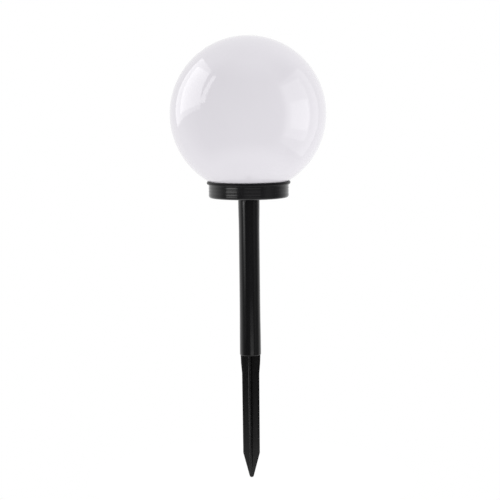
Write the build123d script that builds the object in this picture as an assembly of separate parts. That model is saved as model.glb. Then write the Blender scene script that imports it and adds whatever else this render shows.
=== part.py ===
from build123d import *
from math import cos, radians, sin, sqrt, tan
import os

# Garden globe light: an opal ball screwed into a shallow black cup, on a tube pole
# that drops over a cross-bladed ground stake. The cup holds the solar module.
# Millimetres. +Z is up, -Y is the front. z = 0 is the ground line, where the pole's
# lower end sits on the stake's shoulder; the stake is below it, in the soil.

# ---- driving dimensions ----

# ball and its screw neck
globe_diameter = 150.0
globe_wall = 1.5
neck_gap = 0.8                # between the module plate and the bore of the neck
neck_wall = 1.6
neck_length = 9.0
neck_edge_round = 0.5

# coarse thread: three ribs on the neck run under three lugs in the cup
thread_starts = 3
thread_lead = 18.0
rib_height = 1.6
rib_reach = 1.3
rib_ahead = 10.0              # degrees of rib on the tightening side of its lug
rib_behind = 55.0             # degrees of rib on the other side
lug_sweep = 16.0
lug_bite = 0.9                # how far lug and rib overlap in radius
thread_gap = 0.2
thread_root = 0.6             # depth that ribs and lugs are rooted in their walls
stop_sweep = 4.0
stop_slack = 0.8
lug_drop = 5.5                # centre of the lugs below the cup's top

# square-cut sealing ring on the neck
seal_width = 1.6
seal_height = 1.3
seal_gap = 0.15

# cup
thread_space = 2.3            # between the neck and the cup's bore
cup_height = 15.8
cup_floor = 2.0
cup_wall = 2.6
cup_bottom_round = 2.2
rim_overhang = 1.7            # how far the lip stands out past the cup's side
rim_height = 2.8
rim_line = 0.2                # the ball meets the cup's top this far past the cup's side
rim_round = 1.1
seat_gap = 0.2                # between ball and cup
ripple_count = 3
ripple_pitch = 3.2
ripple_width = 2.2
ripple_depth = 0.12
ripple_first = 4.5            # lowest ripple above the cup's underside

# tube pole
pole_length = 153.3
pole_diameter = 20.0
pole_wall = 1.2
pole_bell_diameter = 20.7
pole_bell_length = 12.0
pole_bell_blend = 14.0
pole_foot_diameter = 20.6
pole_foot_length = 12.0
pole_foot_blend = 32.0
pole_end_round = 0.9

# spigots that the pole fits over
spigot_gap = 0.12
cup_spigot_length = 30.0
cup_spigot_wall = 1.6
spigot_chamfer = 1.0
stake_spigot_length = 28.0

# ground stake: half widths of the blades at depths below the ground line
stake_length = 121.8
shoulder_half_width = 9.7
flare_half_width = 9.35
flare_depth = 8.0
waist_half_width = 8.45
waist_depth = 18.7
heel_half_width = 8.17
point_length = 24.5
stake_tip_round = 2.2
point_half_angle = 15.0
blade_thickness = 2.4
blade_bevel_width = 2.2
blade_bevel_depth = 0.7
blade_ridge = 0.4             # flat left between the bevels at the point
blade_root_round = 1.2
stake_turn = -7.0             # degrees about Z, as the stake sits in the pole

# module plate under the ball, as wide as the battery cradle needs
plate_margin = 0.7            # from the cradle's far corner to the plate's edge
plate_thickness = 2.0
plate_drop = 0.4              # top of the plate below the top of the cup
plate_chamfer = 0.5
kerb_wall = 1.1
kerb_height = 1.5
panel_gap = 0.3

# solar panel
panel_diameter = 52.0
panel_hole = 9.4
board_thickness = 1.0
cell_thickness = 0.25
cell_count = 6
cell_slit = 0.8
cell_margin = 1.6
ribbon_width = 1.4
ribbon_thickness = 0.12
ribbon_offset = 12.0
resin_thickness = 1.4
resin_chamfer = 0.6

# lamp on its post
post_diameter = 8.4
post_bore = 3.8
post_rise = 2.4               # post above the resin
led_flange_diameter = 5.8
led_flange_height = 1.0
led_diameter = 4.8
led_height = 5.4
led_crown = 0.6               # rounding of the lens as a share of its radius
lead_width = 0.5
lead_spacing = 2.54
lead_bend = 2.0
lead_landing = 1.0            # from the bend's end to the board's holes
lead_hole_gap = 0.1

# circuit board
pcb_width = 24.0
pcb_near = 4.5
pcb_inset = 3.7               # far edge in from the plate's edge
pcb_thickness = 1.6
pcb_corner = 1.5
pcb_post_diameter = 4.8
pcb_post_x = 9.2
pcb_post_inset = 3.3          # posts in from the board's far edge
solder_reach = 0.6

# battery, lying across the module behind the pole's line
battery_diameter = 10.5
battery_sleeve = 0.15
battery_length = 44.5
battery_nub_diameter = 3.8
battery_nub_length = 0.9
battery_shoulder = 0.7
battery_y = -12.0
battery_gap = 0.4
battery_shift = 1.05
contact_thickness = 0.4
contact_width = 8.0
contact_tab = 3.0
contact_tab_height = 2.4
contact_tab_rise = 1.0        # tab's foot above the battery's axis
spring_length = 2.5
spring_diameter = 5.6
spring_wire = 0.5
spring_half_turns = 5
spring_clearance = 0.02
end_wall = 1.5
end_wall_width = 9.2
saddle_x = 11.0
saddle_thickness = 2.0
saddle_width = 13.8
saddle_drop = 2.6             # saddle tips below the battery's axis
saddle_gap = 0.1

# slide switch
switch_x = 0.0
switch_y = 19.0
switch_length = 8.6
switch_width = 4.4
switch_height = 4.7
switch_travel = 2.0
switch_lip = 0.9
knob_length = 1.6
knob_width = 1.6
knob_foot_length = 3.2
knob_foot_width = 2.6
knob_foot_height = 1.0
knob_inset = 0.2              # knob tip above the cup's underside
knob_gap = 0.2
pin_width = 0.7
pin_spacing = 2.5
pocket_length = 13.0
pocket_width = 6.6
pocket_depth = 0.8
pocket_corner = 1.2

# screws
tunnel_diameter = 8.2
tunnel_rise = 2.6
screw_inset = 4.0             # screw centres in from the plate's edge
screw_angles = (30.0, 150.0, 270.0)
plate_boss_diameter = 6.4
screw_head_diameter = 5.2
screw_head_height = 1.7
screw_head_recess = 1.3       # head's face above the cup's underside
screw_shank_diameter = 2.4
screw_length = 8.5
screw_gap = 0.3
thread_fit = 0.02
board_screw_head_diameter = 3.6
board_screw_head_height = 1.1
board_screw_shank_diameter = 1.7
board_screw_length = 5.2
drive_width = 0.5
drive_depth = 0.7
drive_arm = 0.6               # of the head's diameter
head_face_width = 0.7         # flat part of the head's face, of its diameter

# wires
wire_diameter = 1.0
wire_sides = 10               # sides of the section of thin wire
wire_hole_gap = 0.15
wire_bend = 0.9               # last bend's radius as a share of the drop to the board
panel_wire_x = 5.2
panel_wire_landing = 5.0      # in from the board's near edge
battery_wire_x = 9.6
battery_wire_landing = 3.4
battery_wire_swing = 5.5      # how far these wires swing out round the saddles
battery_wire_bends = (4.0, 3.0)

# driver parts on the board
chip_size = (4.9, 3.9, 1.5)
chip_pins = 4
chip_pin_pitch = 1.27
chip_y = 16.0
chip_x = -6.2
chip_lift = 0.1               # body above the board
chip_chamfer = 0.25
chip_pin_width = 0.4
chip_pin_thickness = 0.2
chip_pin_shank = 0.6          # out from the body
chip_pin_foot = 0.8
chip_pin_level = 0.7          # underside of the shanks above the board
choke_x = 6.2
choke_flange_diameter = 5.6
choke_core_diameter = 2.4
choke_winding_diameter = 4.8
choke_height = 4.2
choke_flange = 0.8

# ---- levels and radii that follow ----

globe_radius = globe_diameter / 2
globe_inner_radius = globe_radius - globe_wall
pole_radius = pole_diameter / 2
pole_bore_radius = pole_radius - pole_wall
spigot_radius = pole_bore_radius - spigot_gap
battery_radius = battery_diameter / 2
panel_radius = panel_diameter / 2

battery_left = battery_shift - battery_length / 2
battery_right = battery_shift + battery_length / 2
negative_face = battery_left - spring_length
positive_face = battery_right
negative_wall_x = negative_face - contact_thickness - end_wall
positive_wall_x = positive_face + contact_thickness

cradle_half_length = max(-negative_wall_x, positive_wall_x + end_wall)
cradle_reach = sqrt(cradle_half_length**2 + (battery_y - end_wall_width / 2) ** 2)
plate_radius = cradle_reach + plate_margin
screw_circle_radius = plate_radius - screw_inset
pcb_far = plate_radius - pcb_inset
pcb_post_y = pcb_far - pcb_post_inset
neck_bore_radius = plate_radius + neck_gap
neck_radius = neck_bore_radius + neck_wall
cup_bore_radius = neck_radius + thread_space
cup_radius = cup_bore_radius + cup_wall
rim_radius = cup_radius + rim_overhang


def drop_below_centre(ball_radius, ring_radius):
    """How far below a ball's centre its surface has the given ring radius."""
    return sqrt(ball_radius**2 - ring_radius**2)


cup_base = pole_length
floor_top = cup_base + cup_floor
cup_top = cup_base + cup_height
globe_centre = cup_top + drop_below_centre(globe_radius, cup_radius + rim_line)
neck_top = globe_centre - drop_below_centre(globe_radius, neck_radius)
neck_end = neck_top - neck_length
lug_level = cup_top - lug_drop
rib_level = lug_level - rib_height - thread_gap

plate_top = cup_top - plate_drop
plate_bottom = plate_top - plate_thickness
board_top = plate_top + board_thickness
cell_top = board_top + cell_thickness
resin_top = board_top + resin_thickness
post_top = resin_top + post_rise
battery_z = plate_bottom - battery_gap - battery_radius
pcb_bottom = floor_top + switch_height
pcb_top = pcb_bottom + pcb_thickness


# ---- helpers ----


def turned(*corners):
    """Solid turned about Z from (radius, height) corners; a third number rounds the corner."""
    points = [(corner[0], 0, corner[1]) for corner in corners]
    rounding = [corner[2] if len(corner) > 2 else 0 for corner in corners]
    return revolve(make_face(FilletPolyline(*points, radius=rounding, close=True)), Axis.Z)


def block(size, centre, bottom):
    """Box of (x, y, z) size on a level, centred at (x, y)."""
    return Pos(centre[0], centre[1], bottom + size[2] / 2) * Box(*size)


def post(diameter, centre, bottom, top):
    """Round post between two levels."""
    return Pos(centre[0], centre[1], (bottom + top) / 2) * Cylinder(diameter / 2, top - bottom)


def helical_rib(wall_radius, reach, level, start_angle, sweep_angle):
    """Trapezoid rib on a right-hand helix of the thread's lead, rooted in the wall at
    wall_radius and reaching out (or in, if negative) by reach. The level is at angle 0."""
    root = -thread_root if reach > 0 else thread_root
    crest = rib_height / 4
    flank = rib_height / 2
    section = Plane.XZ * Polygon(
        (root, -flank), (0, -flank), (reach, -crest), (reach, crest), (0, flank), (root, flank),
        align=None,
    )
    path = Helix(thread_lead, thread_lead * sweep_angle / 360, wall_radius)
    rib = sweep(Pos(wall_radius, 0, 0) * section, path=path, is_frenet=True)
    return Pos(0, 0, level + thread_lead * start_angle / 360) * Rot(0, 0, start_angle) * rib


def around(shape, count):
    """Copies of a shape, evenly turned about Z."""
    return [Rot(0, 0, 360 * i / count) * shape for i in range(count)]


def wire_through(points, radii, section):
    """Wire of the given section along straight runs joined by tangent arcs."""
    path = FilletPolyline(*points, radius=radii)
    end = Plane(origin=path @ 0, z_dir=path % 0)
    return sweep(end * section, path=path)


def screw(head_diameter, head_height, shank_diameter, length, head_face):
    """Pan-head screw pointing up, with a cross recess in its head."""
    head_radius, shank_radius = head_diameter / 2, shank_diameter / 2
    under_head = head_face + head_height
    tip = under_head + length
    body = turned(
        (0, head_face),
        (head_radius * head_face_width, head_face),
        (head_radius, head_face + head_height / 2),
        (head_radius, under_head),
        (shank_radius, under_head),
        (shank_radius, tip - shank_radius),
        (0, tip),
    )
    arm = head_diameter * drive_arm
    cross = block((arm, drive_width, drive_depth), (0, 0), head_face)
    cross += block((drive_width, arm, drive_depth), (0, 0), head_face)
    return body - cross


def screw_places():
    """Centres of the housing screws."""
    return [
        (screw_circle_radius * cos(radians(a)), screw_circle_radius * sin(radians(a)))
        for a in screw_angles
    ]


# ---- ball, seal and cup ----


def make_globe():
    """Opal ball with its open neck, three thread ribs and their stops."""
    inner_neck_top = globe_centre - drop_below_centre(globe_inner_radius, neck_bore_radius)
    shell_outline = Curve() + [
        ThreePointArc(
            (0, 0, globe_centre + globe_radius),
            (globe_radius, 0, globe_centre),
            (neck_radius, 0, neck_top),
        ),
        FilletPolyline(
            (neck_radius, 0, neck_top),
            (neck_radius, 0, neck_end),
            (neck_bore_radius, 0, neck_end),
            (neck_bore_radius, 0, inner_neck_top),
            radius=neck_edge_round,
        ),
        ThreePointArc(
            (neck_bore_radius, 0, inner_neck_top),
            (globe_inner_radius, 0, globe_centre),
            (0, 0, globe_centre + globe_inner_radius),
        ),
        Line((0, 0, globe_centre + globe_inner_radius), (0, 0, globe_centre + globe_radius)),
    ]
    shell = revolve(make_face(shell_outline), Axis.Z)
    rib = helical_rib(neck_radius, rib_reach, rib_level, -rib_behind, rib_behind + rib_ahead)
    stop_start = lug_sweep / 2 + stop_slack
    stop_outline = Plane.XZ * Polygon(
        (neck_radius - thread_root, rib_level),
        (neck_radius + rib_reach, rib_level),
        (neck_radius + rib_reach, lug_level + rib_height / 4),
        (neck_radius - thread_root, lug_level + rib_height / 4),
        align=None,
    )
    stop = Rot(0, 0, stop_start) * revolve(stop_outline, Axis.Z, revolution_arc=stop_sweep)
    return shell + around(rib, thread_starts) + around(stop, thread_starts)


def make_globe_seal():
    """Rubber ring in the space between neck, ball and cup wall."""
    inner = neck_radius + seal_gap
    outer = inner + seal_width
    top = globe_centre - drop_below_centre(globe_radius, inner) - seal_gap
    bottom = top - seal_height
    return turned((inner, bottom), (outer, bottom), (outer, top), (inner, top))


def make_cup():
    """Black cup with its lip, ripples, lugs, spigot, screw tunnels and switch window."""
    seat_sphere = globe_radius + seat_gap
    lip_radius = sqrt(seat_sphere**2 - (globe_centre - cup_top) ** 2)
    seat_level = globe_centre - drop_below_centre(seat_sphere, cup_bore_radius)
    cup = turned(
        (0, cup_base),
        (cup_radius, cup_base, cup_bottom_round),
        (cup_radius, cup_top - rim_height),
        (rim_radius, cup_top - rim_height, rim_round),
        (rim_radius, cup_top, rim_round),
        (lip_radius, cup_top),
        (cup_bore_radius, seat_level),
        (cup_bore_radius, floor_top),
        (0, floor_top),
    )
    ripple_radius = (ripple_width**2 / 4 + ripple_depth**2) / (2 * ripple_depth)
    for i in range(ripple_count):
        level = cup_base + ripple_first + i * ripple_pitch
        cup -= Pos(0, 0, level) * Torus(cup_radius + ripple_radius - ripple_depth, ripple_radius)
    lug_reach = cup_bore_radius - (neck_radius + rib_reach - lug_bite)
    lug = helical_rib(cup_bore_radius, -lug_reach, lug_level, -lug_sweep / 2, lug_sweep)
    cup += around(lug, thread_starts)
    cup += turned(
        (spigot_radius, floor_top - cup_floor / 2),
        (spigot_radius, cup_base - cup_spigot_length + spigot_chamfer),
        (spigot_radius - spigot_chamfer / 2, cup_base - cup_spigot_length),
        (spigot_radius - cup_spigot_wall, cup_base - cup_spigot_length),
        (spigot_radius - cup_spigot_wall, floor_top - cup_floor / 2),
    )
    bore_top = cup_base + screw_head_recess + screw_head_height
    for place in screw_places():
        cup += post(tunnel_diameter, place, floor_top, floor_top + tunnel_rise)
        cup -= post(screw_head_diameter + 2 * screw_gap, place, cup_base, bore_top)
        cup -= post(
            screw_shank_diameter + 2 * screw_gap, place, bore_top, floor_top + tunnel_rise
        )
    pocket = RectangleRounded(pocket_length, pocket_width, pocket_corner)
    cup -= extrude(Pos(switch_x, switch_y, cup_base) * pocket, pocket_depth)
    slot_size = (knob_length + switch_travel + 2 * knob_gap, knob_width + 2 * knob_gap, cup_floor)
    return cup - block(slot_size, (switch_x, switch_y), cup_base)


# ---- solar module ----


def make_plate():
    """Round plate: kerb and lamp post on top; bosses, board posts and battery cradle below."""
    plate = turned(
        (0, plate_bottom),
        (plate_radius, plate_bottom),
        (plate_radius, plate_top - plate_chamfer),
        (plate_radius - plate_chamfer, plate_top),
        (0, plate_top),
    )
    kerb_inner = panel_radius + panel_gap
    plate += turned(
        (kerb_inner, plate_top - plate_thickness / 2),
        (kerb_inner, plate_top + kerb_height),
        (kerb_inner + kerb_wall - plate_chamfer, plate_top + kerb_height),
        (kerb_inner + kerb_wall, plate_top + kerb_height - plate_chamfer),
        (kerb_inner + kerb_wall, plate_top - plate_thickness / 2),
    )
    plate += post(post_diameter, (0, 0), plate_top - plate_thickness / 2, post_top)
    for place in screw_places():
        plate += post(plate_boss_diameter, place, floor_top + tunnel_rise, plate_bottom)
        pilot_top = cup_base + screw_head_recess + screw_head_height + screw_length
        pilot_diameter = screw_shank_diameter + 2 * thread_fit
        plate -= post(pilot_diameter, place, floor_top, pilot_top + thread_fit)
    for side in (-1, 1):
        board_post = (side * pcb_post_x, pcb_post_y)
        plate += post(pcb_post_diameter, board_post, pcb_top, plate_bottom)
        pilot_diameter = board_screw_shank_diameter + 2 * thread_fit
        pilot_top = pcb_bottom + board_screw_length + thread_fit
        plate -= post(pilot_diameter, board_post, pcb_bottom, pilot_top)
        plate += make_saddle(side * saddle_x)
        wire_hole = wire_diameter + 2 * wire_hole_gap
        plate -= post(wire_hole, (side * panel_wire_x, pcb_near), plate_bottom, plate_top)
    plate += make_end_wall(negative_wall_x)
    plate += make_end_wall(positive_wall_x)
    return plate - post(post_bore, (0, 0), plate_bottom, post_top)


def make_saddle(x):
    """Clip that wraps the upper part of the battery."""
    bottom = battery_z - saddle_drop
    saddle = block(
        (saddle_thickness, saddle_width, plate_bottom - bottom), (x, battery_y), bottom
    )
    bore = Cylinder(battery_radius + saddle_gap, 2 * saddle_thickness, rotation=(0, 90, 0))
    return saddle - Pos(x, battery_y, battery_z) * bore


def make_end_wall(low_x):
    """Wall behind a battery contact, from its low-X face."""
    bottom = battery_z - contact_width / 2
    size = (end_wall, end_wall_width, plate_bottom - bottom)
    return block(size, (low_x + end_wall / 2, battery_y), bottom)


def panel_disc(radius, bottom, top, chamfer_size=0):
    """Disc of the panel's outline with the lamp's hole."""
    hole = panel_hole / 2
    corners = [(hole, bottom), (radius, bottom), (radius, top - chamfer_size)]
    if chamfer_size:
        corners.append((radius - chamfer_size, top))
    return turned(*corners, (hole, top))


def make_cells():
    """Parallel silicon strips trimmed to the round board."""
    ring = panel_disc(panel_radius - cell_margin, board_top, cell_top)
    ring -= post(panel_hole + 2 * cell_margin, (0, 0), board_top, cell_top)
    span = 2 * (panel_radius - cell_margin)
    strip_width = (span - cell_slit * (cell_count - 1)) / cell_count
    strips = []
    for i in range(cell_count):
        x = (i - (cell_count - 1) / 2) * (strip_width + cell_slit)
        strip = block((strip_width, span, cell_thickness), (x, 0), board_top)
        strips += (ring & strip).solids()
    return Compound(children=strips)


def make_ribbons():
    """Two tinned ribbons across the strips."""
    half = panel_radius - cell_margin
    ribbons = []
    for side in (-1, 1):
        y = side * ribbon_offset
        length = 2 * sqrt(half**2 - (ribbon_offset + ribbon_width) ** 2)
        ribbons.append(block((length, ribbon_width, ribbon_thickness), (0, y), cell_top))
    return Compound(children=ribbons)


def make_resin(cells, ribbons):
    """Clear resin over the cells, with their shapes left out of it."""
    resin = panel_disc(panel_radius, board_top, resin_top, resin_chamfer)
    for inlay in cells.solids() + ribbons.solids():
        resin -= inlay
    return resin


def make_led():
    """Lamp with a wide flange and a low domed lens."""
    flange_top = post_top + led_flange_height
    lens_radius = led_diameter / 2
    return turned(
        (0, post_top),
        (led_flange_diameter / 2, post_top),
        (led_flange_diameter / 2, flange_top),
        (lens_radius, flange_top),
        (lens_radius, post_top + led_height, lens_radius * led_crown),
        (0, post_top + led_height),
    )


def make_led_leads():
    """Two lamp leads, down the post and over to the circuit board."""
    bend_level = (pcb_top + plate_bottom) / 2
    landing_y = pcb_near + lead_bend + lead_landing
    leads = []
    for side in (-1, 1):
        x = side * lead_spacing / 2
        route = [
            (x, 0, post_top),
            (x, 0, bend_level),
            (x, landing_y, bend_level),
            (x, landing_y, pcb_bottom - solder_reach),
        ]
        square = Rectangle(lead_width, lead_width)
        leads.append(wire_through(route, (lead_bend, lead_bend), square))
    return Compound(children=leads)


def make_pcb():
    """Circuit board hung under the plate, with holes for leads, pins and screws."""
    centre_y = (pcb_near + pcb_far) / 2
    outline = RectangleRounded(pcb_width, pcb_far - pcb_near, pcb_corner)
    board = extrude(Pos(0, centre_y, pcb_bottom) * outline, pcb_thickness)
    landing_y = pcb_near + lead_bend + lead_landing
    for side in (-1, 1):
        lead_hole = lead_width * sqrt(2) + 2 * lead_hole_gap
        board -= post(lead_hole, (side * lead_spacing / 2, landing_y), pcb_bottom, pcb_top)
        screw_hole = board_screw_shank_diameter + 2 * screw_gap
        board -= post(screw_hole, (side * pcb_post_x, pcb_post_y), pcb_bottom, pcb_top)
    for i in (-1, 0, 1):
        pin_hole = pin_width * 1.5
        board -= post(pin_hole, (switch_x + i * pin_spacing, switch_y), pcb_bottom, pcb_top)
    return board


def make_chip():
    """Driver chip body."""
    body = block(chip_size, (chip_x, chip_y), pcb_top + chip_lift)
    return chamfer(body.edges().group_by(Axis.Z)[-1], chip_chamfer)


def make_chip_pins():
    """Gull-wing pins on both long sides of the chip."""
    shank_middle = chip_size[1] / 2 + chip_pin_shank / 2
    leg_face = chip_size[1] / 2 + chip_pin_shank
    shank_size = (chip_pin_width, chip_pin_shank, chip_pin_thickness)
    leg_size = (chip_pin_width, chip_pin_thickness, chip_pin_level + chip_pin_thickness)
    foot_size = (chip_pin_width, chip_pin_foot, chip_pin_thickness)
    pins = []
    for side in (-1, 1):
        for i in range(chip_pins):
            x = chip_x + (i - (chip_pins - 1) / 2) * chip_pin_pitch
            leg_y = chip_y + side * (leg_face + chip_pin_thickness / 2)
            foot_y = chip_y + side * (leg_face + chip_pin_thickness)
            pin = block(shank_size, (x, chip_y + side * shank_middle), pcb_top + chip_pin_level)
            pin += block(leg_size, (x, leg_y), pcb_top)
            pins.append(pin + block(foot_size, (x, foot_y), pcb_top))
    return Compound(children=pins)


def make_choke_core():
    """Ferrite drum of the choke."""
    outer = choke_flange_diameter / 2
    core = choke_core_diameter / 2
    drum = turned(
        (0, pcb_top),
        (outer, pcb_top),
        (outer, pcb_top + choke_flange),
        (core, pcb_top + choke_flange),
        (core, pcb_top + choke_height - choke_flange),
        (outer, pcb_top + choke_height - choke_flange),
        (outer, pcb_top + choke_height),
        (0, pcb_top + choke_height),
    )
    return Pos(choke_x, chip_y, 0) * drum


def make_choke_winding():
    """Copper winding in the drum, as one ring."""
    low = pcb_top + choke_flange
    high = pcb_top + choke_height - choke_flange
    core, outer = choke_core_diameter / 2, choke_winding_diameter / 2
    ring = turned((core, low), (outer, low), (outer, high), (core, high))
    return Pos(choke_x, chip_y, 0) * ring


# ---- battery ----


def lengthwise(solid):
    """Turns a solid made about Z, from z = 0 up, to lie along +X on the battery's axis."""
    return Pos(battery_left, battery_y, battery_z) * Rot(0, 90, 0) * solid


def make_battery_cell():
    """Steel can with its raised positive end."""
    can_radius = battery_radius - battery_sleeve
    body_end = battery_length - battery_nub_length
    nub_radius = battery_nub_diameter / 2
    shoulder = battery_shoulder
    can = turned(
        (0, 0),
        (can_radius - shoulder, 0),
        (can_radius, shoulder),
        (can_radius, body_end - shoulder),
        (can_radius - shoulder, body_end),
        (nub_radius, body_end),
        (nub_radius, battery_length),
        (0, battery_length),
    )
    return lengthwise(can)


def make_battery_sleeve():
    """Plastic sleeve shrunk on the can."""
    can_radius = battery_radius - battery_sleeve
    start = battery_shoulder
    end = battery_length - battery_nub_length - battery_shoulder
    sleeve = turned(
        (can_radius, start), (battery_radius, start), (battery_radius, end), (can_radius, end)
    )
    return lengthwise(sleeve)


def make_contact(low_x):
    """Flat contact with a solder tab towards the circuit board."""
    bottom = battery_z - contact_width / 2
    plate = block(
        (contact_thickness, contact_width, contact_width),
        (low_x + contact_thickness / 2, battery_y),
        bottom,
    )
    tab_centre_y = battery_y + contact_width / 2 + contact_tab / 2
    tab_size = (contact_thickness, contact_tab, contact_tab_height)
    tab_bottom = battery_z + contact_tab_rise
    return plate + block(tab_size, (low_x + contact_thickness / 2, tab_centre_y), tab_bottom)


def make_battery_spring():
    """Coil spring between the negative contact and the cell, in tilted half turns."""
    radius = (spring_diameter - spring_wire) / 2
    foot = spring_wire / 2 + spring_clearance
    climb = (spring_length - 2 * foot) / spring_half_turns
    half_turns = []
    for i in range(spring_half_turns):
        side = 1 if i % 2 == 0 else -1
        level = foot + i * climb
        half_turns.append(
            ThreePointArc(
                (side * radius, 0, level),
                (0, side * radius, level + climb / 2),
                (-side * radius, 0, level + climb),
            )
        )
    path = Wire(half_turns)
    start = Plane(origin=path @ 0, z_dir=path % 0)
    coil = sweep(start * RegularPolygon(spring_wire / 2, wire_sides), path=path)
    print(f"battery_spring: {2 * climb - spring_wire:.2f} mm between its turns")
    return Pos(negative_face, battery_y, battery_z) * Rot(0, 90, 0) * coil


# ---- switch ----


def make_switch_housing():
    """Switch body on the cup's floor, with the knob's chamber."""
    centre = (switch_x, switch_y)
    body = block((switch_length, switch_width, switch_height), centre, floor_top)
    mouth = (knob_length + switch_travel + 2 * knob_gap, knob_width + 2 * knob_gap, switch_lip)
    chamber = (
        knob_foot_length + switch_travel + 2 * knob_gap,
        knob_foot_width + 2 * knob_gap,
        knob_foot_height + 2 * knob_gap,
    )
    body -= block(mouth, centre, floor_top)
    return body - block(chamber, centre, floor_top + switch_lip)


def make_switch_pins():
    """Three flat pins from the switch up through the circuit board."""
    size = (pin_width, pin_width / 2, pcb_thickness + solder_reach)
    centres = [(switch_x + i * pin_spacing, switch_y) for i in (-1, 0, 1)]
    return Compound(children=[block(size, centre, pcb_bottom) for centre in centres])


def make_switch_knob():
    """Sliding knob at its off end, with a wide foot inside the housing."""
    centre = (switch_x - switch_travel / 2, switch_y)
    foot_level = floor_top + switch_lip + knob_gap
    tip = cup_base + knob_inset
    stem = block((knob_length, knob_width, foot_level - tip), centre, tip)
    foot = (knob_foot_length, knob_foot_width, knob_foot_height)
    return stem + block(foot, centre, foot_level)


# ---- wires ----


def make_panel_wire(side):
    """From the back of the panel through the plate to the circuit board."""
    x = side * panel_wire_x
    turn_level = (pcb_top + plate_bottom) / 2
    landing_y = pcb_near + panel_wire_landing
    bend = (turn_level - pcb_top) * wire_bend
    route = [
        (x, pcb_near, plate_top),
        (x, pcb_near, turn_level),
        (x, landing_y, turn_level),
        (x, landing_y, pcb_top),
    ]
    return wire_through(route, (bend, bend), RegularPolygon(wire_diameter / 2, wire_sides))


def make_battery_wire(side):
    """From a contact's tab, round the saddle, to the circuit board."""
    tab_face = positive_face if side > 0 else negative_face
    tab_y = battery_y + contact_width / 2 + contact_tab / 2
    tab_z = battery_z + contact_tab_rise + contact_tab_height / 2
    x = side * battery_wire_x
    landing_y = pcb_near + battery_wire_landing
    bend = (tab_z - pcb_top) * wire_bend
    route = [
        (tab_face, tab_y, tab_z),
        (side * (saddle_x + battery_wire_swing), tab_y, tab_z),
        (x, battery_y + saddle_width / 2 + battery_wire_swing, tab_z),
        (x, landing_y, tab_z),
        (x, landing_y, pcb_top),
    ]
    section = RegularPolygon(wire_diameter / 2, wire_sides)
    return wire_through(route, (*battery_wire_bends, bend), section)


# ---- screws ----


def make_housing_screws():
    """Three screws up through the cup into the plate's bosses."""
    one = screw(
        screw_head_diameter,
        screw_head_height,
        screw_shank_diameter,
        screw_length,
        cup_base + screw_head_recess,
    )
    return Compound(children=[Pos(x, y, 0) * one for x, y in screw_places()])


def make_board_screws():
    """Two small screws that hold the circuit board to its posts."""
    one = screw(
        board_screw_head_diameter,
        board_screw_head_height,
        board_screw_shank_diameter,
        board_screw_length,
        pcb_bottom - board_screw_head_height,
    )
    places = [(side * pcb_post_x, pcb_post_y) for side in (-1, 1)]
    return Compound(children=[Pos(x, y, 0) * one for x, y in places])


# ---- pole and stake ----


def make_pole():
    """Tube, slightly wider at both ends, where it is stretched over the two spigots."""
    foot_radius = pole_foot_diameter / 2
    bell_radius = pole_bell_diameter / 2
    bell_level = pole_length - pole_bell_length
    return turned(
        (pole_bore_radius, 0),
        (foot_radius, 0, pole_end_round),
        (foot_radius, pole_foot_length),
        (pole_radius, pole_foot_length + pole_foot_blend),
        (pole_radius, bell_level - pole_bell_blend),
        (bell_radius, bell_level),
        (bell_radius, pole_length),
        (pole_bore_radius, pole_length),
    )


def blade_section(half_width, level):
    """Cross-section of a pair of blades: a flat bar whose two long edges are bevelled."""
    edge_half = blade_thickness / 2 - blade_bevel_depth
    bevel = min(blade_bevel_width, half_width - blade_ridge / 2)
    full_half = edge_half + blade_bevel_depth * bevel / blade_bevel_width
    quarter = [(half_width, edge_half), (half_width - bevel, full_half)]
    upper = quarter + [(-x, y) for x, y in reversed(quarter)]
    lower = [(-x, -y) for x, y in upper]
    return Plane.XY.offset(level) * make_face(Polyline(*upper, *lower, close=True))


def make_blades():
    """One pair of opposite blades, from the shoulder to the point."""
    point_slope = tan(radians(point_half_angle))
    ridge_width = blade_bevel_width + blade_ridge / 2
    ridge_to_tip = point_length - (heel_half_width - ridge_width) / point_slope
    outline = [
        (shoulder_half_width, 0),
        (flare_half_width, flare_depth),
        (waist_half_width, waist_depth),
        (heel_half_width, stake_length - point_length),
        (ridge_width, stake_length - ridge_to_tip),
        (heel_half_width - point_length * point_slope, stake_length),
    ]
    return loft([blade_section(half, -depth) for half, depth in outline], ruled=True)


def make_stake():
    """Cross-bladed stake with its spigot, turned as it sits in the pole."""
    blades = make_blades()
    bar = block((2 * pole_radius, blade_thickness, stake_spigot_length), (0, 0), 0)
    spigot = bar + Rot(0, 0, 90) * bar
    spigot &= turned(
        (0, 0),
        (spigot_radius, 0),
        (spigot_radius, stake_spigot_length - spigot_chamfer),
        (spigot_radius - spigot_chamfer / 2, stake_spigot_length),
        (0, stake_spigot_length),
    )
    stake = blades + Rot(0, 0, 90) * blades + spigot
    inner_corners = stake.edges().filter_by(on_inner_corner)
    stake = fillet(inner_corners, blade_root_round)
    point_slope = tan(radians(point_half_angle))
    tip_width = heel_half_width - point_length * point_slope
    cone_tip = tip_width + blade_thickness / 20
    cone_top = cone_tip + (stake_length + stake_spigot_length) * point_slope
    stake &= turned(
        (0, -stake_length),
        (cone_tip, -stake_length, stake_tip_round),
        (cone_top, stake_spigot_length),
        (0, stake_spigot_length),
    )
    return Rot(0, 0, stake_turn) * stake


def on_inner_corner(edge):
    """True for the edges where the two pairs of blades meet."""
    middle = edge @ 0.5
    near_axis = max(abs(middle.X), abs(middle.Y)) < blade_thickness / 2 + 0.01
    return near_axis and abs(abs(middle.X) - abs(middle.Y)) < 0.01


# ---- build ----

cells = make_cells()
ribbons = make_ribbons()

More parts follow.
